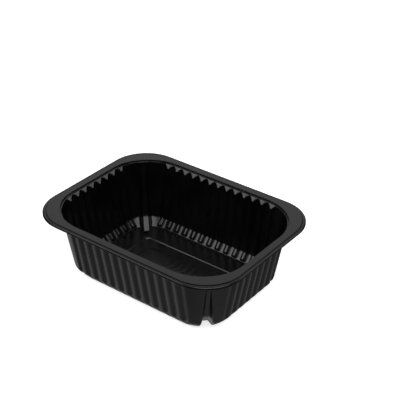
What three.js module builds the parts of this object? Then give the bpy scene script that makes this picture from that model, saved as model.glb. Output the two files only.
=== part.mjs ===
// Sealing tray for ready-made food: one sheet of black plastic, drawn down into a rectangular bowl.
// Millimetres, +Z up, long side along X. The origin is the centre of the footprint, on the table.
import * as THREE from 'three';

// Overall size and the sheet that the tray is formed from.
const LENGTH = 190;
const WIDTH = 144;
const HEIGHT = 60;
const SHEET = 0.6;

// Sealing flange and the mouth inside it. Near its edge the flange steps down to a narrow rim, which turns down in a lip.
const RIM_RADIUS = 33;
const LIP_DROP = 2.4;
const RIM_WIDTH = 1.8;
const RIM_STEP = 0.4;
const SHOULDER = 0.3;
const FLANGE_WIDTH = 8.2;
const MOUTH_RADIUS_X = 40.4;
const MOUTH_RADIUS_Y = 37.7;

// Ledge just below the flange, where the walls start.
const LEDGE_DEPTH = 1.6;
const LEDGE_DRAFT = 0.15;
const WALL_TOP_INSET = 9.5;

// Walls and the slope at their foot: the corner radius grows from the floor to the ledge.
const WALL_FOOT_INSET = 18.9;
const SLOPE_HEIGHT = 6.8;
const FLOOR_INSET = 24.6;
const CORNER_RADIUS_FOOT = 24;
const CORNER_RADIUS_TOP = 37;

// Floor: a flat outer ring, a sunken foot band that the tray stands on, and a raised middle panel.
const RING_RISE = 0.8;
const RING_HALF_X = 61;
const RING_HALF_Y = 38;
const RING_RADIUS = 18;
const BAND_HALF_X = 52.4;
const BAND_HALF_Y = 29;
const BAND_RADIUS = 4;
const BAND_RISER = 1.4;
const PANEL_RISE = 1;
const PANEL_HALF_X = 40.5;
const PANEL_HALF_Y = 16.5;
const PANEL_RADIUS = 3.5;
const PANEL_RISER = 1;

// Stiffening ribs that stand inwards from the walls: 13 on a long side, 8 on a short one.
const RIB_PITCH = 8.94;
const RIBS_LONG = 13;
const RIBS_SHORT = 8;
const RIB_CREST_HALF = 1;
const RIB_BASE_HALF = 2.8;
const RIB_DEPTH_TOP = 1.7;
const RIB_DEPTH_FOOT = 1.6;
const RIB_DEPTH_SLOPE = 1.4;
const RIB_END = 0.21;

// Each rib ends in a sloping shoulder under the ledge, which widens upwards.
const RIB_SHOULDER_DROP = 3.2;
const SHOULDER_CREST_HALF = 3.4;
const SHOULDER_BASE_HALF = 4;

// Column in each corner, with a flat front between two steep flanks. It stands on a line square to the corner,
// slopes back from the floor, and then leans back into the wall and narrows. Its reach is measured along that
// line from the middle of the tray.
const COLUMN_LINE = 23.5;
const COLUMN_HALF_WIDTH = 6.2;
const COLUMN_HALF_WIDTH_TOP = 2.5;
const COLUMN_FLANK = 0.55;
const COLUMN_FOOT_REACH = 66.3;
const COLUMN_SHOULDER_REACH = 75.2;
const COLUMN_SHOULDER = 12;

// Steps round one corner: from the last rib to the column, over the column, and on to the next side's last rib.
const PLATE_STEPS = 4;
const FLANK_STEPS = 4;
const COLUMN_STEPS = 2 * FLANK_STEPS + 2;
const CORNER_STEPS = PLATE_STEPS + COLUMN_STEPS + PLATE_STEPS;

// Heights of the upper skin, from the parts of the section above.
const RING_Z = RING_RISE + SHEET;
const BAND_Z = SHEET;
const PANEL_Z = SHEET + PANEL_RISE;
const LEDGE_Z = HEIGHT - LEDGE_DEPTH;
const WALL_FOOT_Z = RING_Z + SLOPE_HEIGHT;
const COLUMN_TOP = LEDGE_Z - RIB_SHOULDER_DROP;

// Edges of one rib across it, lowest first: base, crest, crest, base.
const RIB_EDGES = [
  { hand: -1, crest: false },
  { hand: -1, crest: true },
  { hand: 1, crest: true },
  { hand: 1, crest: false },
];

// Middles of the ribs on one side, lowest first.
function ribMiddles(count) {
  const middles = [];
  for (let i = 0; i < count; i += 1) {
    middles.push((i - (count - 1) / 2) * RIB_PITCH);
  }
  return middles;
}

// Stations along one side, from its low end to its high end. Levels without ribs keep the bend stations.
function sideStations(side, count) {
  const stations = [];
  for (const middle of ribMiddles(count)) {
    for (const { hand, crest } of RIB_EDGES) {
      const bend = crest && Math.abs(middle) > (count / 2 - 2) * RIB_PITCH;
      stations.push({ side, middle, hand, crest, bend });
    }
  }
  return stations;
}

// Stations round one corner, from the short side to the long side.
function cornerStations() {
  const stations = [];
  for (let step = 1; step < CORNER_STEPS; step += 1) {
    stations.push({ side: 'corner', step, crest: false, bend: true });
  }
  return stations;
}

// A station on another quarter of the tray.
function flipped(station, signX, signY) {
  return { ...station, signX, signY };
}

// All stations once round the tray, anticlockwise from the start of the corner at +X +Y.
function allStations() {
  const long = sideStations('long', RIBS_LONG);
  const short = sideStations('short', RIBS_SHORT);
  const corner = cornerStations();
  const back = [...corner].reverse();
  return [
    ...corner.map((s) => flipped(s, 1, 1)),
    ...[...long].reverse().map((s) => flipped(s, 1, 1)),
    ...back.map((s) => flipped(s, -1, 1)),
    ...[...short].reverse().map((s) => flipped(s, -1, 1)),
    ...corner.map((s) => flipped(s, -1, -1)),
    ...long.map((s) => flipped(s, 1, -1)),
    ...back.map((s) => flipped(s, 1, -1)),
    ...short.map((s) => flipped(s, 1, 1)),
  ].map((station, order) => ({ ...station, order }));
}

// Place of a rib's edge along its side, at a level.
function alongSide(level, station) {
  return station.middle + station.hand * (station.crest ? level.crestHalf : level.baseHalf);
}

// End of the row of ribs on a side, at a level.
function rowEnd(level, count) {
  return ((count - 1) / 2) * RIB_PITCH + level.baseHalf;
}

// How far a rounded outline reaches in the one direction, at a place along the other.
function reach(half, radius, otherHalf, otherRadius, along) {
  const past = Math.max(0, Math.abs(along) - (otherHalf - otherRadius)) / otherRadius;
  return half - radius + radius * Math.sqrt(1 - past * past);
}

// Point of a plain outline at a step round the corner, with the steps shared out evenly.
function plainCornerPoint(level, step) {
  const { halfX, halfY, radiusX, radiusY } = level;
  const centreX = halfX - radiusX;
  const centreY = halfY - radiusY;
  const start = rowEnd(level, RIBS_SHORT);
  const end = rowEnd(level, RIBS_LONG);
  const startAngle = Math.asin(Math.max(0, start - centreY) / radiusY);
  const endAngle = Math.acos(Math.max(0, end - centreX) / radiusX);
  const startRun = Math.max(0, centreY - start);
  const endRun = Math.max(0, centreX - end);
  const arc = ((radiusX + radiusY) / 2) * (endAngle - startAngle);
  const travelled = (step / CORNER_STEPS) * (startRun + arc + endRun);
  if (travelled < startRun) {
    return new THREE.Vector2(halfX, start + travelled);
  }
  if (travelled > startRun + arc) {
    return new THREE.Vector2(centreX - (travelled - startRun - arc), halfY);
  }
  const angle = startAngle + ((travelled - startRun) / arc) * (endAngle - startAngle);
  return new THREE.Vector2(centreX + radiusX * Math.cos(angle), centreY + radiusY * Math.sin(angle));
}

// Place across the column at a step, from 1 at the foot of its one flank to -1 at the foot of the other.
function acrossColumn(step) {
  const onColumn = THREE.MathUtils.clamp(step - PLATE_STEPS, 0, COLUMN_STEPS);
  const fromFoot = Math.min(onColumn, COLUMN_STEPS - onColumn);
  const across = fromFoot > FLANK_STEPS ? 0 : 1 - (COLUMN_FLANK * fromFoot) / FLANK_STEPS;
  return onColumn < COLUMN_STEPS / 2 ? across : -across;
}

// The line across the corner, as x - y, on which a step lies.
function cornerLine(level, step) {
  const { halfX, halfY, radiusX, radiusY } = level;
  const columnLine = COLUMN_LINE + Math.SQRT2 * level.columnHalf * acrossColumn(step);
  if (step < PLATE_STEPS) {
    const y = rowEnd(level, RIBS_SHORT);
    const start = reach(halfX, radiusX, halfY, radiusY, y) - y;
    return THREE.MathUtils.lerp(start, columnLine, step / PLATE_STEPS);
  }
  if (step > PLATE_STEPS + COLUMN_STEPS) {
    const x = rowEnd(level, RIBS_LONG);
    const end = x - reach(halfY, radiusY, halfX, radiusX, x);
    return THREE.MathUtils.lerp(end, columnLine, (CORNER_STEPS - step) / PLATE_STEPS);
  }
  return columnLine;
}

// Point of a wall's outline at a step round the corner, pushed in over the column.
function wallCornerPoint(level, step) {
  const { halfX, halfY, radiusX, radiusY } = level;
  const size = Math.hypot(radiusX, radiusY);
  const offLine = cornerLine(level, step) - (halfX - radiusX) + (halfY - radiusY);
  const angle = Math.acos(offLine / size) - Math.atan2(radiusY, radiusX);
  const rise = THREE.MathUtils.smoothstep(1 - Math.abs(acrossColumn(step)), 0, COLUMN_FLANK);
  const push = (level.column * rise) / Math.SQRT2;
  const x = halfX - radiusX + radiusX * Math.cos(angle) - push;
  const y = halfY - radiusY + radiusY * Math.sin(angle) - push;
  return new THREE.Vector2(x, y);
}

// One point of the tray at a level and a station, in the quarter where x and y are positive.
function quarterPoint(level, station) {
  const along = Math.abs(alongSide(level, station));
  const depth = station.crest ? level.rib : 0;
  const inward = depth * level.normalInward;
  const z = level.z + depth * level.normalUp;
  const { halfX, halfY, radiusX, radiusY } = level;
  if (station.side === 'long') {
    return new THREE.Vector3(along, reach(halfY, radiusY, halfX, radiusX, along) - inward, z);
  }
  if (station.side === 'short') {
    return new THREE.Vector3(reach(halfX, radiusX, halfY, radiusY, along) - inward, along, z);
  }
  const { step } = station;
  const corner = level.ribbed ? wallCornerPoint(level, step) : plainCornerPoint(level, step);
  return new THREE.Vector3(corner.x, corner.y, z);
}

// Signs that carry a quarter point to the station's own place.
function stationSigns(station) {
  if (station.side === 'long') {
    return [Math.sign(station.middle) || station.hand, station.signY];
  }
  if (station.side === 'short') {
    return [station.signX, Math.sign(station.middle)];
  }
  return [station.signX, station.signY];
}

// A ring of points round the tray at one level.
function trayRing(level, stations) {
  const kept = level.ribbed ? stations : stations.filter((s) => s.bend);
  return kept.map((station) => {
    const [signX, signY] = stationSigns(station);
    const point = quarterPoint(level, station);
    point.x *= signX;
    point.y *= signY;
    return { point, order: station.order };
  });
}

// A small rounded rectangle on the floor, with its corner points in step with the wall's stations.
function floorRing(halfX, halfY, radius, z, stations) {
  const corners = stations.filter((s) => s.side === 'corner' && s.step % 2 === 0);
  return corners.map((station) => {
    const angle = ((station.step - 2) / (CORNER_STEPS - 4)) * (Math.PI / 2);
    const x = halfX - radius + radius * Math.cos(angle);
    const y = halfY - radius + radius * Math.sin(angle);
    const point = new THREE.Vector3(station.signX * x, station.signY * y, z);
    return { point, order: station.order };
  });
}

// One level of the section: how far it lies inside the rim's outline, its height and its corner radii.
function level(inset, z, radiusX, radiusY, extra = {}) {
  return {
    inset,
    z,
    halfX: LENGTH / 2 - inset,
    halfY: WIDTH / 2 - inset,
    radiusX,
    radiusY,
    rib: 0,
    normalInward: 1,
    normalUp: 0,
    column: 0,
    columnHalf: columnHalf(z),
    crestHalf: RIB_CREST_HALF,
    baseHalf: RIB_BASE_HALF,
    ribbed: false,
    ...extra,
  };
}

function wallRadius(z) {
  const share = (z - RING_Z) / (LEDGE_Z - RING_Z);
  return CORNER_RADIUS_FOOT + share * (CORNER_RADIUS_TOP - CORNER_RADIUS_FOOT);
}

// Reach of a plain wall's corner, along the same line as the column's.
function cornerReach(inset, radius) {
  return (LENGTH / 2 + WIDTH / 2 - 2 * inset) / Math.SQRT2 - radius * (Math.SQRT2 - 1);
}

function columnReach(z) {
  if (z < COLUMN_SHOULDER) {
    const share = (z - RING_Z) / (COLUMN_SHOULDER - RING_Z);
    return THREE.MathUtils.lerp(COLUMN_FOOT_REACH, COLUMN_SHOULDER_REACH, share);
  }
  const top = cornerReach(wallInset(COLUMN_TOP), wallRadius(COLUMN_TOP));
  const share = (z - COLUMN_SHOULDER) / (COLUMN_TOP - COLUMN_SHOULDER);
  return THREE.MathUtils.lerp(COLUMN_SHOULDER_REACH, top, share);
}

function columnDepth(inset, z) {
  return z < COLUMN_TOP ? Math.max(0, cornerReach(inset, wallRadius(z)) - columnReach(z)) : 0;
}

function columnHalf(z) {
  const share = THREE.MathUtils.clamp((z - RING_Z) / (COLUMN_TOP - RING_Z), 0, 1);
  return THREE.MathUtils.lerp(COLUMN_HALF_WIDTH, COLUMN_HALF_WIDTH_TOP, share);
}

function wallInset(z) {
  const share = (LEDGE_Z - z) / (LEDGE_Z - WALL_FOOT_Z);
  return THREE.MathUtils.lerp(WALL_TOP_INSET, WALL_FOOT_INSET, share);
}

// A level of the straight wall, with the ribs at a given depth.
function wallLevel(z, rib) {
  const inset = wallInset(z);
  const radius = wallRadius(z);
  return level(inset, z, radius, radius, { rib, ribbed: true, column: columnDepth(inset, z) });
}

// The wall's top level, where the rib shoulders run out.
function shoulderTop() {
  return { ...wallLevel(LEDGE_Z, 0), crestHalf: SHOULDER_CREST_HALF, baseHalf: SHOULDER_BASE_HALF };
}

// A level of the slope between floor and wall, at a share of its height.
function slopeLevel(share, rib) {
  const inset = THREE.MathUtils.lerp(FLOOR_INSET, WALL_FOOT_INSET, share);
  const z = RING_Z + share * SLOPE_HEIGHT;
  const radius = wallRadius(z);
  const length = Math.hypot(SLOPE_HEIGHT, FLOOR_INSET - WALL_FOOT_INSET);
  return level(inset, z, radius, radius, {
    rib,
    normalInward: SLOPE_HEIGHT / length,
    normalUp: (FLOOR_INSET - WALL_FOOT_INSET) / length,
    ribbed: true,
    column: columnDepth(inset, z),
  });
}

// Upper skin of the wall and flange, from the floor's edge up and out to the lip's lower edge.
function upperLevels() {
  const mouth = [MOUTH_RADIUS_X, MOUTH_RADIUS_Y];
  return [
    slopeLevel(0, 0),
    slopeLevel(RIB_END, RIB_DEPTH_SLOPE),
    wallLevel(WALL_FOOT_Z, RIB_DEPTH_FOOT),
    wallLevel(COLUMN_SHOULDER, RIB_DEPTH_FOOT),
    wallLevel(COLUMN_TOP, RIB_DEPTH_TOP),
    shoulderTop(),
    level(FLANGE_WIDTH + LEDGE_DRAFT, LEDGE_Z, ...mouth),
    level(FLANGE_WIDTH, HEIGHT, ...mouth),
    level(RIM_WIDTH + RIM_STEP, HEIGHT, RIM_RADIUS, RIM_RADIUS),
    level(RIM_WIDTH, HEIGHT - RIM_STEP, RIM_RADIUS, RIM_RADIUS),
    level(SHOULDER, HEIGHT - RIM_STEP, RIM_RADIUS, RIM_RADIUS),
    level(0, HEIGHT - RIM_STEP - SHOULDER, RIM_RADIUS, RIM_RADIUS),
    level(0, HEIGHT - LIP_DROP, RIM_RADIUS, RIM_RADIUS),
  ];
}

// Side step of the section at a level, square to the line between two neighbouring levels.
function stepNormal(from, to) {
  const run = new THREE.Vector2(from.inset - to.inset, to.z - from.z).normalize();
  return new THREE.Vector2(run.y, -run.x);
}

// The same level on the lower skin: one sheet thickness outwards and down, mitred at a bend.
function lowerLevel(levels, i) {
  const here = levels[i];
  const before = i > 0 ? stepNormal(levels[i - 1], here) : new THREE.Vector2(0, -1);
  const after = i < levels.length - 1 ? stepNormal(here, levels[i + 1]) : before;
  const mitre = before.clone().add(after).normalize();
  mitre.multiplyScalar(SHEET / mitre.dot(before));
  const grow = mitre.x;
  return level(here.inset - grow, here.z + mitre.y, here.radiusX + grow, here.radiusY + grow, {
    rib: here.rib,
    normalInward: here.normalInward,
    normalUp: here.normalUp,
    ribbed: here.ribbed,
    column: here.column,
    columnHalf: here.columnHalf - SHEET,
    crestHalf: here.crestHalf,
    baseHalf: here.baseHalf,
  });
}

// Lower skin, from the lip's lower edge back to the floor's edge.
function lowerLevels() {
  const levels = upperLevels();
  return levels.map((_, i) => lowerLevel(levels, i)).reverse();
}

// Lines of the floor's upper skin, from the middle panel out to the flat ring, just inside the columns.
function floorRings(stations) {
  const panel = PANEL_RISER;
  return [
    floorRing(PANEL_HALF_X, PANEL_HALF_Y, PANEL_RADIUS, PANEL_Z, stations),
    floorRing(PANEL_HALF_X + panel, PANEL_HALF_Y + panel, PANEL_RADIUS + panel, BAND_Z, stations),
    floorRing(BAND_HALF_X - BAND_RISER, BAND_HALF_Y - BAND_RISER, BAND_RADIUS, BAND_Z, stations),
    floorRing(BAND_HALF_X, BAND_HALF_Y, BAND_RADIUS + BAND_RISER, RING_Z, stations),
    floorRing(RING_HALF_X, RING_HALF_Y, RING_RADIUS, RING_Z, stations),
  ];
}

function centrePoint(z) {
  return [{ point: new THREE.Vector3(0, 0, z), order: 0 }];
}

function lowered(ring) {
  return ring.map(({ point, order }) => ({ point: point.clone().setZ(point.z - SHEET), order }));
}

// Rings of the whole skin: out along the upper side, over the lip, back in along the lower side.
function trayRings() {
  const stations = allStations();
  const floor = floorRings(stations);
  return [
    centrePoint(PANEL_Z),
    ...floor,
    ...upperLevels().map((l) => trayRing(l, stations)),
    ...lowerLevels().map((l) => trayRing(l, stations)),
    ...[...floor].reverse().map(lowered),
    centrePoint(PANEL_Z - SHEET),
  ];
}

// Halfway order between two neighbours of a ring, the last of which is the first again.
function halfwayOrder(ring, i, total) {
  if (ring.length === 1 || i >= ring.length) {
    return Infinity;
  }
  const next = i + 1 < ring.length ? ring[i + 1].order : total + ring[0].order;
  return (ring[i].order + next) / 2;
}

// Whether the inner ring goes on first: where its halfway order is lower, or its diagonal is shorter.
function innerGoesOn(inner, outer, i, j, total) {
  const innerOrder = halfwayOrder(inner, i, total);
  const outerOrder = halfwayOrder(outer, j, total);
  if (innerOrder !== outerOrder) {
    return innerOrder < outerOrder;
  }
  const innerHere = inner[i % inner.length].point;
  const outerHere = outer[j % outer.length].point;
  const innerNext = inner[(i + 1) % inner.length].point;
  const outerNext = outer[(j + 1) % outer.length].point;
  return innerNext.distanceTo(outerHere) < innerHere.distanceTo(outerNext);
}

// Triangles between two neighbouring rings, which may have different numbers of points.
function stitch(inner, outer, innerStart, outerStart, total, index) {
  let i = 0;
  let j = 0;
  const innerId = (n) => innerStart + (n % inner.length);
  const outerId = (n) => outerStart + (n % outer.length);
  const innerCount = inner.length === 1 ? 0 : inner.length;
  const outerCount = outer.length === 1 ? 0 : outer.length;
  while (i < innerCount || j < outerCount) {
    if (innerGoesOn(inner, outer, i, j, total)) {
      index.push(innerId(i), outerId(j), innerId(i + 1));
      i += 1;
    } else {
      index.push(innerId(i), outerId(j), outerId(j + 1));
      j += 1;
    }
  }
}

function trayGeometry() {
  const rings = trayRings();
  const total = allStations().length;
  const points = [];
  const index = [];
  let start = 0;
  rings.forEach((ring, n) => {
    points.push(...ring.map(({ point }) => point));
    if (n + 1 < rings.length) {
      stitch(ring, rings[n + 1], start, start + ring.length, total, index);
    }
    start += ring.length;
  });
  const geometry = new THREE.BufferGeometry().setFromPoints(points);
  geometry.setIndex(index);
  geometry.computeVertexNormals();
  return geometry;
}

const blackPlastic = new THREE.MeshStandardMaterial({ color: 0x141414, roughness: 0.35, metalness: 0 });
blackPlastic.name = 'black_plastic';

const tray = new THREE.Mesh(trayGeometry(), blackPlastic);
tray.name = 'tray';

const group = new THREE.Group();
group.name = 'sealing_tray';
group.add(tray);

export default group;
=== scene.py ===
# %% [markdown]
# # A black sealing tray in Blender
# The tray holds one ready meal. A factory heats a flat sheet of black plastic and sucks it down into a mould, so
# every part of it is the same thin sheet: the flange, the ribbed walls and the floor. This lesson shapes that sheet,
# gives it its black plastic, and lights it softly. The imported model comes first, as the frame to build in.

# %% Load the frame
import math
import bpy
import bmesh
from mathutils import Matrix, Vector


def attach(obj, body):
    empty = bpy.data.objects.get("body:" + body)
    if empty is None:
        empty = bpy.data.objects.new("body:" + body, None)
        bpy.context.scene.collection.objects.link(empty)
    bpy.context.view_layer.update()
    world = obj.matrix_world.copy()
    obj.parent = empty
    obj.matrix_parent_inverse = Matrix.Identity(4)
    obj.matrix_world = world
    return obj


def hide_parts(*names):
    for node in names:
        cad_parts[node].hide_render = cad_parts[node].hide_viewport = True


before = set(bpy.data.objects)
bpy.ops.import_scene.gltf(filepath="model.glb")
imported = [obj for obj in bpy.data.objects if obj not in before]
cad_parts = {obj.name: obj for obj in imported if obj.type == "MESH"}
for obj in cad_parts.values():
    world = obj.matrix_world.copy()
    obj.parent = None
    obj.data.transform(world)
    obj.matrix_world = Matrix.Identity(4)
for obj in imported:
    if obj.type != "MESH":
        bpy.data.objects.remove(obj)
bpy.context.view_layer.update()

# %% [markdown]
# ## Sizes
# All lengths are in millimetres and become metres when a point is placed. The section of the tray is read from the
# flange inwards: an inset is how far a point lies inside the rim's outline. Each outline is a rounded rectangle,
# and its corner radius shrinks on the way down.

# %% Sizes of the flange, its rim, the mouth and the ledge
MM = 0.001
HALF_LENGTH = 95.0
HALF_WIDTH = 72.0
HEIGHT = 60.0
SHEET = 0.6
RIM_RADIUS = 33.0
LIP_DROP = 2.4
RIM_WIDTH = 1.8
RIM_STEP = 0.4
FLANGE_WIDTH = 8.2
MOUTH_RADII = (40.4, 37.7)
LEDGE_Z = 58.4
LEDGE_DRAFT = 0.15
print("flange:", FLANGE_WIDTH, "mm wide,", HEIGHT, "mm above the table")

# %% Sizes of the walls, the slope at their foot and the floor
WALL_TOP_INSET = 9.5
WALL_FOOT_INSET = 18.9
WALL_FOOT_Z = 8.2
WALL_LENGTH = 51.07
RADIUS_FOOT = 24.0
RADIUS_TOP = 37.0
FLOOR_INSET = 24.6
RING_Z = 1.4
BAND_Z = 0.6
PANEL_Z = 1.6
BAND_HALF = (52.4, 29.0)
BAND_RISER = 1.1
BAND_RADIUS = 4.0
PANEL_HALF = (39.8, 15.8)
PANEL_RISER = 2.4
PANEL_RADIUS = 3.5
# Across the ring, each pair is a row's inset and its corner radius.
RING_ROWS = ((39.0, 11.0), (34.0, 18.0))
# In a step, each pair is how far across its riser a level lies, and how much of the riser's height is done there.
CRISP_STEP = ((-0.3, 0.0), (0.0, 0.0), (0.16, 0.04), (0.32, 0.16),
              (0.68, 0.84), (0.84, 0.96), (1.0, 1.0), (1.3, 1.0))
SOFT_STEP = ((-0.3, 0.0), (0.0, 0.0), (0.2, 0.1), (0.4, 0.35),
             (0.6, 0.65), (0.8, 0.9), (1.0, 1.0), (1.3, 1.0))
SLOPE_LENGTH = math.hypot(FLOOR_INSET - WALL_FOOT_INSET, WALL_FOOT_Z - RING_Z)
SLOPE_IN = (WALL_FOOT_Z - RING_Z) / SLOPE_LENGTH
SLOPE_UP = (FLOOR_INSET - WALL_FOOT_INSET) / SLOPE_LENGTH
print("the slope at the wall's foot is", round(SLOPE_LENGTH, 2), "mm long")

# %% Sizes of the ribs
RIB_PITCH = 8.94
RIBS_LONG = 13
RIBS_SHORT = 8
RIB_CREST_HALF = 1.0
RIB_BASE_HALF = 2.8
RIB_DEPTH_TOP = 1.7
RIB_DEPTH_FOOT = 1.6
RIB_DEPTH_SLOPE = 1.4
RIB_NOSE = (0.05, 0.21)
SHOULDER_Z = LEDGE_Z - 3.2
SHOULDER_CREST_HALF = 3.4
SHOULDER_BASE_HALF = 4.0
print(RIBS_LONG, "ribs on a long side and", RIBS_SHORT, "on a short one,", RIB_PITCH, "mm apart")

# %% Sizes of the corner columns, whose reach is measured from the middle of the tray along the column's line
COLUMN_LINE = 23.5
COLUMN_HALF_FLOOR = 5.3
COLUMN_HALF_FOOT = 6.2
COLUMN_HALF_TOP = 2.5
COLUMN_WIDENING = 0.4
COLUMN_FLANK = 0.62
COLUMN_FOOT_REACH = 66.3
COLUMN_SHOULDER_REACH = 75.2
COLUMN_SHOULDER_Z = 12.0
print("columns stand", round(SHOULDER_Z - RING_Z, 1), "mm high")

# %% [markdown]
# ## One level of the section
# The sheet is shaped level by level. A level holds an outline, a height and how far the ribs and the corner columns
# stand out there. The ribs grow square to the surface, so a level also holds which way that is.

# %% A level, and the smooth step that rounds its edges
def smooth(share):
    share = min(1.0, max(0.0, share))
    return share * share * (3 - 2 * share)


def column_half(z):
    share = min(1.0, max(0.0, (z - RING_Z) / (SHOULDER_Z - RING_Z)))
    tapered = COLUMN_HALF_FOOT + share * (COLUMN_HALF_TOP - COLUMN_HALF_FOOT)
    return min(tapered, COLUMN_HALF_FLOOR + COLUMN_WIDENING * (z - RING_Z))


def level(inset, z, radii, rib=0.0, lean=(1.0, 0.0), column=0.0, spread=False):
    half = (HALF_LENGTH - inset, HALF_WIDTH - inset)
    return {"half": half, "z": z, "radii": radii, "rib": rib, "lean": lean, "column": column, "spread": spread,
            "ribbed": inset > WALL_TOP_INSET - 0.01 and not spread, "column_half": column_half(z),
            "crest_half": RIB_CREST_HALF, "base_half": RIB_BASE_HALF}


def wall_inset(z):
    share = (LEDGE_Z - z) / (LEDGE_Z - WALL_FOOT_Z)
    return WALL_TOP_INSET + share * (WALL_FOOT_INSET - WALL_TOP_INSET)


def wall_radii(z):
    share = (z - RING_Z) / (LEDGE_Z - RING_Z)
    radius = RADIUS_FOOT + share * (RADIUS_TOP - RADIUS_FOOT)
    return (radius, radius)


def corner_reach(inset, radius):
    return (HALF_LENGTH + HALF_WIDTH - 2 * inset) / math.sqrt(2) - radius * (math.sqrt(2) - 1)


COLUMN_TOP_REACH = corner_reach(wall_inset(SHOULDER_Z), wall_radii(SHOULDER_Z)[0])


def column_reach(z, ease=1.2):
    below = (COLUMN_SHOULDER_REACH - COLUMN_FOOT_REACH) / (COLUMN_SHOULDER_Z - RING_Z)
    above = (COLUMN_TOP_REACH - COLUMN_SHOULDER_REACH) / (SHOULDER_Z - COLUMN_SHOULDER_Z)
    past = min(ease, max(-ease, z - COLUMN_SHOULDER_Z))
    rounding = (above - below) * (past + ease) ** 2 / (4 * ease)
    far = max(0.0, z - COLUMN_SHOULDER_Z - ease)
    return COLUMN_SHOULDER_REACH + below * (z - COLUMN_SHOULDER_Z) + rounding + (above - below) * far


def column_depth(inset, z):
    return max(0.0, corner_reach(inset, wall_radii(z)[0]) - column_reach(z))


print("column depth at the wall's foot:", round(column_depth(WALL_FOOT_INSET, WALL_FOOT_Z), 2), "mm")

# %% Levels of the floor, from the middle panel out to the wall
def step_levels(half, radius, riser, z_from, z_to, profile):
    made = []
    for share, rise in profile:
        grow = share * riser
        here = level(0.0, z_from + rise * (z_to - z_from), (radius + grow, radius + grow), spread=True)
        here["half"] = (half[0] + grow, half[1] + grow)
        made.append(here)
    return made


def floor_levels():
    inner = (BAND_HALF[0] - BAND_RISER, BAND_HALF[1] - BAND_RISER)
    panel = step_levels(PANEL_HALF, PANEL_RADIUS, PANEL_RISER, PANEL_Z, BAND_Z, SOFT_STEP)
    band = step_levels(inner, BAND_RADIUS, BAND_RISER, BAND_Z, RING_Z, CRISP_STEP)
    ring = [level(inset, RING_Z, (radius, radius), spread=True) for inset, radius in RING_ROWS]
    return panel + band + ring


print("floor levels:", len(floor_levels()))

# %% Levels of the slope at the foot
def slope_level(share):
    inset = FLOOR_INSET + share * (WALL_FOOT_INSET - FLOOR_INSET)
    z = RING_Z + share * (WALL_FOOT_Z - RING_Z)
    nose_from, nose_to = RIB_NOSE
    rib = RIB_DEPTH_SLOPE * smooth((share - nose_from) / (nose_to - nose_from))
    return level(inset, z, wall_radii(z), rib, (SLOPE_IN, SLOPE_UP), column_depth(inset, z))


def foot_levels(cut=0.5, flat_margin=0.7, flat_radius=23.8, column_margin=1.0):
    flat_inset = FLOOR_INSET + flat_margin
    flat = level(flat_inset, RING_Z, (flat_radius, flat_radius), 0.0, (0.0, 1.0), 0.0)
    flat["column"] = corner_reach(flat_inset, flat_radius) - COLUMN_FOOT_REACH + column_margin
    made = [flat]
    for share in (0.0, 0.35, 0.7):
        inset = FLOOR_INSET + cut * (1 - share) ** 2 - cut * SLOPE_UP * share ** 2
        z = RING_Z + cut * SLOPE_IN * share ** 2
        made.append(level(inset, z, wall_radii(z), 0.0, (SLOPE_IN, SLOPE_UP), column_depth(FLOOR_INSET, RING_Z)))
    return made + [slope_level(share) for share in (0.06, 0.1, 0.14, 0.18, 0.22, 0.35, 0.6, 0.8)]


print("levels at the foot:", len(foot_levels()))

# %% Levels of the wall
def wall_level(z, rib):
    inset = wall_inset(z)
    return level(inset, z, wall_radii(z), rib, (1.0, 0.0), column_depth(inset, z) if z < SHOULDER_Z else 0.0)


def knee_levels(cut=1.2):
    made = []
    wall_in = (WALL_FOOT_INSET - WALL_TOP_INSET) / WALL_LENGTH
    wall_up = (LEDGE_Z - WALL_FOOT_Z) / WALL_LENGTH
    for share in (0.0, 0.25, 0.5, 0.75, 1.0):
        back, on = cut * (1 - share) ** 2, cut * share ** 2
        inset = WALL_FOOT_INSET + back * SLOPE_UP - on * wall_in
        z = WALL_FOOT_Z - back * SLOPE_IN + on * wall_up
        rib = RIB_DEPTH_SLOPE + share * (RIB_DEPTH_FOOT - RIB_DEPTH_SLOPE)
        lean = (SLOPE_IN + share * (1 - SLOPE_IN), SLOPE_UP * (1 - share))
        made.append(level(inset, z, wall_radii(z), rib, lean, column_depth(inset, z)))
    return made


def wall_levels():
    heights = [10.2, 10.9, 11.5, 12.1, 12.8, 13.6, 16.0, 21.0, 27.0, 33.0, 39.0, 45.0, 50.0, 53.5, 54.9, SHOULDER_Z]
    made = []
    for z in heights:
        share = (z - WALL_FOOT_Z) / (SHOULDER_Z - WALL_FOOT_Z)
        made.append(wall_level(z, RIB_DEPTH_FOOT + share * (RIB_DEPTH_TOP - RIB_DEPTH_FOOT)))
    return made


print("levels:", len(knee_levels()), "over the knee,", len(wall_levels()), "up the wall")

# %% [markdown]
# ## Levels above the ribs
# Each rib ends in a sloping shoulder that widens upwards, so under the ledge the shoulders look like a row of teeth.
# The ledge is where a filled tray stops when it is nested. Above it the sheet turns out into the flange, steps down
# to a narrow rim, and turns down in a short lip that keeps the edge stiff. A row on each side of every edge keeps
# the shading of the flats clean.

# %% Levels of the rib shoulders, the ledge and the mouth
def shoulder_levels(under_ledge=0.14):
    made = []
    for share in (0.1, 0.35, 0.65, 0.92, 1.0):
        z = LEDGE_Z - (LEDGE_Z - SHOULDER_Z) * (1 - share) - under_ledge * share
        here = wall_level(z, RIB_DEPTH_TOP * (1 - share))
        here["crest_half"] = RIB_CREST_HALF + share * (SHOULDER_CREST_HALF - RIB_CREST_HALF)
        here["base_half"] = RIB_BASE_HALF + share * (SHOULDER_BASE_HALF - RIB_BASE_HALF)
        made.append(here)
    return made


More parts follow.
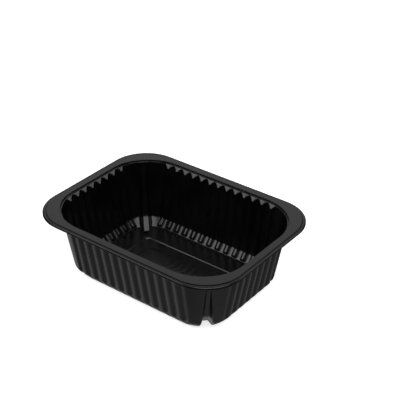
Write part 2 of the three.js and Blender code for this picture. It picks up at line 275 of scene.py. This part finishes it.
def ledge_levels():
    foot = FLANGE_WIDTH + LEDGE_DRAFT
    made = [level(WALL_TOP_INSET - 0.16, LEDGE_Z, wall_radii(LEDGE_Z))]
    made += [level(foot + 0.14, LEDGE_Z, MOUTH_RADII), level(foot, LEDGE_Z + 0.1, MOUTH_RADII)]
    made += [level(foot - 0.01, LEDGE_Z + 0.3, MOUTH_RADII), level(FLANGE_WIDTH + 0.01, HEIGHT - 0.35, MOUTH_RADII)]
    made += [level(FLANGE_WIDTH, HEIGHT - 0.15, MOUTH_RADII), level(FLANGE_WIDTH - 0.05, HEIGHT - 0.05, MOUTH_RADII)]
    made += [level(FLANGE_WIDTH - 0.18, HEIGHT, MOUTH_RADII), level(FLANGE_WIDTH - 0.6, HEIGHT, MOUTH_RADII)]
    return made


print("levels:", len(shoulder_levels()), "over the shoulders,", len(ledge_levels()), "over the ledge")

# %% Levels of the narrow rim and the lip
def rim_levels(turn_radius=0.9, rows=4):
    radii = (RIM_RADIUS, RIM_RADIUS)
    low = HEIGHT - RIM_STEP
    made = [level(RIM_WIDTH + RIM_STEP + 0.5, HEIGHT, radii), level(RIM_WIDTH + RIM_STEP, HEIGHT, radii)]
    made += [level(RIM_WIDTH, low, radii), level(RIM_WIDTH - 0.3, low, radii)]
    for i in range(rows + 1):
        turn = (i / rows) * math.pi / 2
        made.append(level(turn_radius * (1 - math.sin(turn)), low - turn_radius * (1 - math.cos(turn)), radii))
    made += [level(0.0, HEIGHT - LIP_DROP + 0.2, radii), level(0.0, HEIGHT - LIP_DROP, radii)]
    return made


levels = floor_levels() + foot_levels() + knee_levels() + wall_levels() + shoulder_levels()
levels += ledge_levels() + rim_levels()
print("levels in all:", len(levels))

# %% [markdown]
# ## One place on a level
# A quarter of the tray is enough, because the other three are its mirror images. Along the sides every column of
# the sheet belongs to one rib: to its crest, its flank or the groove beside it. Round the corner the columns share
# out the plain wall and the corner column.

# %% Points of an outline
def reach(half, radius, other_half, other_radius, along):
    past = max(0.0, along - (other_half - other_radius)) / other_radius
    return half - radius + radius * math.sqrt(max(0.0, 1 - past * past))


def row_end(here, side):
    count = RIBS_LONG if side == "long" else RIBS_SHORT
    return (count - 1) / 2 * RIB_PITCH + here["base_half"]


def corner_point(here, share):
    (half_x, half_y), (radius_x, radius_y) = here["half"], here["radii"]
    short_end, long_end = row_end(here, "short"), row_end(here, "long")
    centre_x, centre_y = half_x - radius_x, half_y - radius_y
    first = math.asin(max(0.0, short_end - centre_y) / radius_y)
    last = math.acos(max(0.0, long_end - centre_x) / radius_x)
    run_up, run_out = max(0.0, centre_y - short_end), max(0.0, centre_x - long_end)
    arc = (radius_x + radius_y) / 2 * (last - first)
    travelled = share * (run_up + arc + run_out)
    if travelled < run_up:
        return half_x, short_end + travelled
    if travelled > run_up + arc:
        return centre_x - (travelled - run_up - arc), half_y
    angle = first + (travelled - run_up) / arc * (last - first)
    return centre_x + radius_x * math.cos(angle), centre_y + radius_y * math.sin(angle)


def spread_point(here, side, share):
    (half_x, half_y), (radius_x, radius_y) = here["half"], here["radii"]
    if side == "long":
        return share * (half_x - radius_x), half_y
    if side == "short":
        return half_x, share * (half_y - radius_y)
    angle = share * math.pi / 2
    return half_x - radius_x + radius_x * math.cos(angle), half_y - radius_y + radius_y * math.sin(angle)


mouth = level(FLANGE_WIDTH, HEIGHT, MOUTH_RADII)
print("the last ribs end", round(row_end(mouth, "long"), 2), "and", round(row_end(mouth, "short"), 2), "mm out")

# %% Ribs: stage 0 is the middle of the crest, 1 its edge, 2 the foot of the flank, 3 the middle of the groove
def rib_offset(here, stage):
    marks = (0.0, here["crest_half"], here["base_half"], RIB_PITCH / 2)
    step = min(2, int(stage))
    return marks[step] + (stage - step) * (marks[step + 1] - marks[step])


def rib_share(stage, roundness=0.6):
    up = min(1.0, max(0.0, 2.0 - stage))
    return up - roundness * math.sin(2 * math.pi * up) / (2 * math.pi)


print("rib share on the crest, halfway and in the groove:", rib_share(0), round(rib_share(1.5), 2), rib_share(3))

# %% Corner columns: across is 1 at the foot of the one flank and -1 at the foot of the other
PLATE_SHARE = 9 / 36
FLANK_SHARE = 6 / 36
PLATE_EASE = 1.3


def across_column(share):
    from_foot = min(share, 1 - share) - PLATE_SHARE
    if from_foot < FLANK_SHARE:
        across = 1 - COLUMN_FLANK * min(1.0, max(0.0, from_foot / FLANK_SHARE))
    else:
        across = (1 - COLUMN_FLANK) * (0.5 - min(share, 1 - share)) / (0.5 - PLATE_SHARE - FLANK_SHARE)
    return across if share < 0.5 else -across


def ribbed_corner_point(here, share):
    (half_x, half_y), (radius_x, radius_y) = here["half"], here["radii"]
    across = across_column(share)
    line = COLUMN_LINE + math.sqrt(2) * here["column_half"] * across
    if share < PLATE_SHARE:
        end = row_end(here, "short")
        start = reach(half_x, radius_x, half_y, radius_y, end) - end
        line += (start - line) * (1 - share / PLATE_SHARE) ** PLATE_EASE
    if share > 1 - PLATE_SHARE:
        end = row_end(here, "long")
        stop = end - reach(half_y, radius_y, half_x, radius_x, end)
        line += (stop - line) * (1 - (1 - share) / PLATE_SHARE) ** PLATE_EASE
    angle = math.acos((line - half_x + radius_x + half_y - radius_y) / math.hypot(radius_x, radius_y)) - math.pi / 4
    push = here["column"] * smooth((1 - abs(across)) / COLUMN_FLANK) / math.sqrt(2)
    x = half_x - radius_x + radius_x * math.cos(angle) - push
    return x, half_y - radius_y + radius_y * math.sin(angle) - push


print("the column's crest at the wall's foot:", ribbed_corner_point(slope_level(1.0), 0.5))

# %% Columns of the quarter sheet, from the middle of the short side round to the middle of the long side
HALF_RIB = (0.0, 1.0, 1.25, 1.5, 1.75, 2.0, 3.0)
CORNER_COLUMNS = 36


def side_columns(side, count):
    first = 0.0 if count % 2 else 0.5
    ribs = (count + 1) // 2
    groove = HALF_RIB[-1]
    made = []
    for i in range(ribs):
        middle = (first + i) * RIB_PITCH
        if middle > 0:
            made += [(side, middle, -1, stage) for stage in reversed(HALF_RIB[1:])]
        stages = HALF_RIB if i < ribs - 1 else HALF_RIB[:-1]
        made += [(side, middle, 1, stage) for stage in stages]
    # Neighbouring ribs share the middle of their groove, so the second of the two columns is left out.
    return [c for i, c in enumerate(made) if i == 0 or not c[3] == made[i - 1][3] == groove]


def sheet_columns():
    corner = [("corner", i / CORNER_COLUMNS, 0, 0.0) for i in range(1, CORNER_COLUMNS)]
    return side_columns("short", RIBS_SHORT) + corner + list(reversed(side_columns("long", RIBS_LONG)))


columns = sheet_columns()
print("columns:", len(columns))

# %% The place of one point
def place(here, column):
    side, middle, hand, stage = column
    (half_x, half_y), (radius_x, radius_y) = here["half"], here["radii"]
    if side == "corner":
        if here["spread"]:
            x, y = spread_point(here, side, middle)
        else:
            x, y = ribbed_corner_point(here, middle) if here["ribbed"] else corner_point(here, middle)
        return Vector((x, y, here["z"])) * MM
    along = middle + hand * rib_offset(here, stage)
    if here["spread"]:
        x, y = spread_point(here, side, along / row_end(here, side))
        return Vector((x, y, here["z"])) * MM
    depth = here["rib"] * rib_share(stage)
    inward, up = depth * here["lean"][0], depth * here["lean"][1]
    if side == "long":
        x, y = along, reach(half_y, radius_y, half_x, radius_x, along) - inward
    else:
        x, y = reach(half_x, radius_x, half_y, radius_y, along) - inward, along
    return Vector((x, y, here["z"] + up)) * MM


print("the flange's inner edge, at the middle of a short side:", place(mouth, columns[0]))

# %% [markdown]
# ## The sheet itself
# A flat grid is the sheet before it is heated. Its columns follow the side and the corner, its rows follow the
# levels, and shaping it is one move for each point. The grid is a quarter of the tray, so it's mirrored twice and
# the seams are merged.

# %% Shape a quarter and mirror it
def draw_sheet(bm):
    rows, across = len(levels) - 1, len(columns) - 1
    grid = bmesh.ops.create_grid(bm, x_segments=across, y_segments=rows, size=0.5)
    for vertex in grid["verts"]:
        column = round((vertex.co.x + 0.5) * across)
        row = round((vertex.co.y + 0.5) * rows)
        vertex.co = place(levels[row], columns[column])
    for axis in ("X", "Y"):
        bmesh.ops.mirror(bm, geom=bm.verts[:] + bm.edges[:] + bm.faces[:], axis=axis, merge_dist=1e-7)
    bmesh.ops.remove_doubles(bm, verts=bm.verts[:], dist=2e-6)


sheet = bmesh.new()
draw_sheet(sheet)
print("faces in the drawn sheet:", len(sheet.faces))

# %% Close the middle panel and point the faces up
def close_panel(bm, floor_below=10.0):
    rim = [e for e in bm.edges if e.is_boundary and max(v.co.z for v in e.verts) < floor_below * MM]
    made = bmesh.ops.edgeloop_fill(bm, edges=rim)
    bmesh.ops.recalc_face_normals(bm, faces=bm.faces[:])
    if made["faces"][0].normal.z < 0:
        bmesh.ops.reverse_faces(bm, faces=bm.faces[:])


close_panel(sheet)
print("open edges left, all round the lip:", sum(e.is_boundary for e in sheet.edges))

# %% [markdown]
# ## From bmesh to piece
# The Solidify modifier gives the sheet its thickness on the far side of its faces, which keeps the measured
# surfaces where they are. The edge at the lip is cut square, as a trimming die leaves it.

# %% Make the tray piece
def finish_piece(bm, name):
    mesh = bpy.data.meshes.new(name)
    bm.to_mesh(mesh)
    bm.free()
    mesh.shade_smooth()
    piece = bpy.data.objects.new(name, mesh)
    bpy.context.scene.collection.objects.link(piece)
    return piece


tray = finish_piece(sheet, "sealing_tray")
wall = tray.modifiers.new("sheet thickness", "SOLIDIFY")
wall.thickness = SHEET * MM
wall.offset = -1.0
wall.use_even_offset = True
print("tray:", tray.name, "with", len(tray.data.polygons), "faces before its thickness")

# %% [markdown]
# ## Raised shapes on the floor
# Such a tray has small raised shapes on its middle panel, pressed up by the same mould. Here they are plain ones:
# a row of rounded bars, a ring, a short bar and a rounded square. Each is a low block with rounded edges that
# reaches a little into the panel, so no gap shows under it. An inset loop keeps the flat tops flat in the shading.

# %% One raised block
MARK_HEIGHT = 0.7
MARK_SINK = 0.2
MARK_ROUNDING = 0.3
LID_INSET = 0.12
LID_LEAST_AREA = 4.0


def raised_block(bm, middle, size, corner):
    z = (PANEL_Z + (MARK_HEIGHT - MARK_SINK) / 2) * MM
    there = Matrix.Translation((middle[0] * MM, middle[1] * MM, z))
    sized = Matrix.Diagonal((size[0] * MM, size[1] * MM, (MARK_HEIGHT + MARK_SINK) * MM, 1.0))
    made = bmesh.ops.create_cube(bm, size=1.0, matrix=there @ sized)["verts"]
    upright = [e for e in {e for v in made for e in v.link_edges} if abs(e.verts[0].co.z - e.verts[1].co.z) > 1e-6]
    rounded = bmesh.ops.bevel(bm, geom=upright, offset=corner * MM, offset_type="OFFSET", segments=5, profile=0.5,
                              affect="EDGES", material=-1, clamp_overlap=True)
    top = max({f for v in rounded["verts"] for f in v.link_faces}, key=lambda f: f.calc_center_median().z)
    bmesh.ops.bevel(bm, geom=list(top.edges), offset=MARK_ROUNDING * MM, offset_type="OFFSET", segments=3,
                    profile=0.5, affect="EDGES", material=-1, clamp_overlap=True)


print("raised shapes stand", MARK_HEIGHT, "mm high")

# %% A ring, spun round its middle
def raised_ring(bm, middle, radius, half):
    shoulder = MARK_HEIGHT - 0.1
    steps = ((-1, -MARK_SINK), (-0.7, shoulder), (0.0, MARK_HEIGHT), (0.7, shoulder), (1, -MARK_SINK))
    section = [bm.verts.new(((middle[0] + radius + side * half) * MM, middle[1] * MM, (PANEL_Z + z) * MM))
               for side, z in steps]
    rim = [bm.edges.new(pair) for pair in zip(section, section[1:] + section[:1])]
    centre = (middle[0] * MM, middle[1] * MM, 0.0)
    bmesh.ops.spin(bm, geom=section + rim, cent=centre, axis=(0, 0, 1), angle=2 * math.pi, steps=40, use_merge=True)


print("the ring is spun in 40 steps")

# %% Set them out on the panel
# A block has a middle, a size and a corner radius. The ring has a middle, a radius and half of its band's width.
BAR_COUNT = 5
BAR_FIRST = -12.4
BAR_PITCH = 6.2
BAR_ROW_Y = 9.0
BAR_SIZE = (3.4, 10.2)
BAR_CORNER = 1.4
SHORT_BAR = ((0.0, -10.4), (14.0, 3.2), 1.3)
ROUNDED_SQUARE = ((25.0, -7.5), (9.6, 9.6), 2.0)
SMALL_RING = ((-24.8, -7.5), 4.4, 0.65)


def set_out_shapes(bm):
    for i in range(BAR_COUNT):
        raised_block(bm, (BAR_FIRST + BAR_PITCH * i, BAR_ROW_Y), BAR_SIZE, BAR_CORNER)
    raised_ring(bm, *SMALL_RING)
    raised_block(bm, *SHORT_BAR)
    raised_block(bm, *ROUNDED_SQUARE)
    bmesh.ops.recalc_face_normals(bm, faces=bm.faces[:])
    lids = [f for f in bm.faces if f.normal.z > 0.999 and f.calc_area() > LID_LEAST_AREA * MM * MM]
    bmesh.ops.inset_individual(bm, faces=lids, thickness=LID_INSET * MM, use_even_offset=True)


shapes = bmesh.new()
set_out_shapes(shapes)
marks = finish_piece(shapes, "raised_shapes")
print("raised shapes:", len(marks.data.polygons), "faces")

# %% [markdown]
# ## Black plastic
# Black polypropylene is nearly all reflection: the colour itself is almost black, and the shape shows in what the
# skin mirrors. The mould leaves the skin satin, a little smoother in some places than in others. The sheet is
# never quite flat, so a slow waviness bends its reflections, and a very fine grain softens them. Handling leaves
# faint rubbed patches, which are rougher and a touch greyer.

# %% Helpers for the node tree
def add_noise(nodes, links, source, scale, detail):
    noise = nodes.new("ShaderNodeTexNoise")
    noise.inputs["Scale"].default_value = scale
    noise.inputs["Detail"].default_value = detail
    links.new(source, noise.inputs["Vector"])
    return noise.outputs["Fac"]


def add_range(nodes, links, source, low, high, to_low, to_high):
    mapped = nodes.new("ShaderNodeMapRange")
    for name, value in (("From Min", low), ("From Max", high), ("To Min", to_low), ("To Max", to_high)):
        mapped.inputs[name].default_value = value
    links.new(source, mapped.inputs["Value"])
    return mapped.outputs["Result"]


def add_bump(nodes, links, height, distance, below=None):
    bump = nodes.new("ShaderNodeBump")
    bump.inputs["Strength"].default_value = 1.0
    bump.inputs["Distance"].default_value = distance
    links.new(height, bump.inputs["Height"])
    if below is not None:
        links.new(below, bump.inputs["Normal"])
    return bump.outputs["Normal"]


print("node helpers ready")

# %% Material for the tray: its rubbed patches, its slow waves and its fine grain
PATCH_SCALE = 38.0
SMOOTHEST, ROUGHEST = 0.18, 0.26
BLACKEST = (0.0014, 0.0014, 0.0015, 1)
GREYEST = (0.0034, 0.0034, 0.0036, 1)
WAVE_SCALE = 60.0
WAVE_DISTANCE = 0.00002
GRAIN_SCALE = 1600.0
GRAIN_DISTANCE = 0.000004


def black_plastic():
    material = bpy.data.materials.new("black_plastic")
    material.use_nodes = True
    nodes, links = material.node_tree.nodes, material.node_tree.links
    shader = nodes["Principled BSDF"]
    shader.inputs["IOR"].default_value = 1.49
    where = nodes.new("ShaderNodeTexCoord").outputs["Object"]
    rubbed = add_noise(nodes, links, where, PATCH_SCALE, 4.0)
    links.new(add_range(nodes, links, rubbed, 0.35, 0.7, SMOOTHEST, ROUGHEST), shader.inputs["Roughness"])
    tint = nodes.new("ShaderNodeValToRGB")
    stops = tint.color_ramp.elements
    stops[0].position, stops[0].color = 0.4, BLACKEST
    stops[1].position, stops[1].color = 0.75, GREYEST
    links.new(rubbed, tint.inputs["Fac"])
    links.new(tint.outputs["Color"], shader.inputs["Base Color"])
    waves = add_bump(nodes, links, add_noise(nodes, links, where, WAVE_SCALE, 1.0), WAVE_DISTANCE)
    grain = add_bump(nodes, links, add_noise(nodes, links, where, GRAIN_SCALE, 2.0), GRAIN_DISTANCE, waves)
    links.new(grain, shader.inputs["Normal"])
    return material


plastic = black_plastic()
for piece in (tray, marks):
    piece.data.materials.append(plastic)
print("material:", plastic.name)

# %% Tell the frame about the pieces
for piece in (tray, marks):
    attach(piece, "root")
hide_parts("tray")

# %% [markdown]
# ## The set
# Shiny black things are lit by what they mirror, so each softbox is placed where one part of the tray looks at it:
# one for the flange, one for the ribs of each far wall, and a wide one overhead for the corner columns and the plain
# wall beside them. The table is pale and bright. Its full picture in the plastic would turn the walls grey, so
# reflections don't see it. They see a room that is dim above and brighter below.

# %% Table
def pale_table():
    bm = bmesh.new()
    bmesh.ops.create_grid(bm, x_segments=1, y_segments=1, size=4.0)
    floor = finish_piece(bm, "table")
    material = bpy.data.materials.new("pale_table")
    material.use_nodes = True
    shader = material.node_tree.nodes["Principled BSDF"]
    shader.inputs["Base Color"].default_value = (0.9, 0.9, 0.9, 1)
    shader.inputs["Roughness"].default_value = 0.7
    shader.inputs["Specular IOR Level"].default_value = 0.1
    shader.inputs["Emission Color"].default_value = (1, 1, 1, 1)
    shader.inputs["Emission Strength"].default_value = 0.75
    floor.data.materials.append(material)
    floor.visible_glossy = False
    return floor


table = pale_table()
print("table:", table.dimensions)

# %% Softboxes: direction from the tray, the way the box's width runs, its width and height, and its brightness
def softbox(name, direction, width_way, size, brightness, distance=1.4):
    data = bpy.data.lights.new(name, "AREA")
    data.shape = "RECTANGLE"
    data.size, data.size_y = size
    data.energy = brightness * math.pi * size[0] * size[1]
    lamp = bpy.data.objects.new(name, data)
    bpy.context.scene.collection.objects.link(lamp)
    towards = Vector(direction).normalized()
    upward = towards.cross(Vector(width_way)).normalized()
    axes = Matrix((upward.cross(towards), upward, towards)).transposed()
    lamp.matrix_world = Matrix.Translation(towards * distance) @ axes.to_4x4()
    lamp.visible_camera = False
    return lamp


boxes = [
    softbox("softbox for the flange", (-0.51, 0.64, 0.58), (0.78, 0.62, 0.0), (1.3, 1.0), 0.6),
    softbox("softbox for the long side", (-0.52, -0.64, 0.56), (0.78, -0.63, 0.0), (0.85, 0.85), 2.7),
    softbox("softbox for the short side", (0.62, 0.65, 0.44), (-0.72, 0.69, 0.0), (0.8, 0.75), 1.9),
    softbox("softbox overhead", (0.35, -0.25, 0.90), (0.66, 0.745, 0.0), (1.6, 1.1), 2.6),
]
print("softboxes:", [box.name for box in boxes])

# %% Room light: dim above, brighter below, and two brighter patches of table that the outer walls mirror
NEAR_CORNER_WAY = (0.53, -0.36, -0.77)
NEAR_CORNER_EDGE = 0.8
LEFT_WAY = (-0.70, 0.10, -0.70)
LEFT_EDGE = 0.6
BRIGHT_UP_TO = -0.7
DIM_FROM = -0.52


def add_patch(nodes, links, way, middle, edge, brightness):
    facing = nodes.new("ShaderNodeVectorMath")
    facing.operation = "DOT_PRODUCT"
    links.new(way, facing.inputs[0])
    facing.inputs[1].default_value = middle
    return add_range(nodes, links, facing.outputs["Value"], edge, 1.0, 0.0, brightness)


def dim_room(above=0.035, below=0.22, near_corner=0.08, left=0.22):
    world = bpy.data.worlds.new("room")
    world.use_nodes = True
    nodes, links = world.node_tree.nodes, world.node_tree.links
    nodes["Background"].inputs["Color"].default_value = (1, 1, 1, 1)
    way = nodes.new("ShaderNodeTexCoord").outputs["Generated"]
    parts = nodes.new("ShaderNodeSeparateXYZ")
    links.new(way, parts.inputs["Vector"])
    total = add_range(nodes, links, parts.outputs["Z"], BRIGHT_UP_TO, DIM_FROM, below, above)
    patches = ((NEAR_CORNER_WAY, NEAR_CORNER_EDGE, near_corner), (LEFT_WAY, LEFT_EDGE, left))
    for middle, edge, brightness in patches:
        added = nodes.new("ShaderNodeMath")
        links.new(total, added.inputs[0])
        links.new(add_patch(nodes, links, way, middle, edge, brightness), added.inputs[1])
        total = added.outputs["Value"]
    links.new(total, nodes["Background"].inputs["Strength"])
    return world


bpy.context.scene.world = dim_room()
bpy.context.scene.view_settings.view_transform = "Standard"
print("world:", bpy.context.scene.world.name)

# %% Camera
CAMERA_PLACE = Vector((437.864, -544.982, 496.616)) * MM
CAMERA_RIGHT = Vector((0.795387, 0.606053, 0.007669))
CAMERA_UP = Vector((-0.319808, 0.408902, 0.854705))
lens = bpy.data.cameras.new("camera")
lens.sensor_width = 36.0
lens.lens = 92.294
camera = bpy.data.objects.new("camera", lens)
bpy.context.scene.collection.objects.link(camera)
back = CAMERA_RIGHT.cross(CAMERA_UP)
turn = Matrix((CAMERA_RIGHT, CAMERA_UP, back)).transposed()
camera.matrix_world = Matrix.Translation(CAMERA_PLACE) @ turn.to_4x4()
bpy.context.scene.camera = camera
print("camera", round(CAMERA_PLACE.length, 3), "m from the origin")
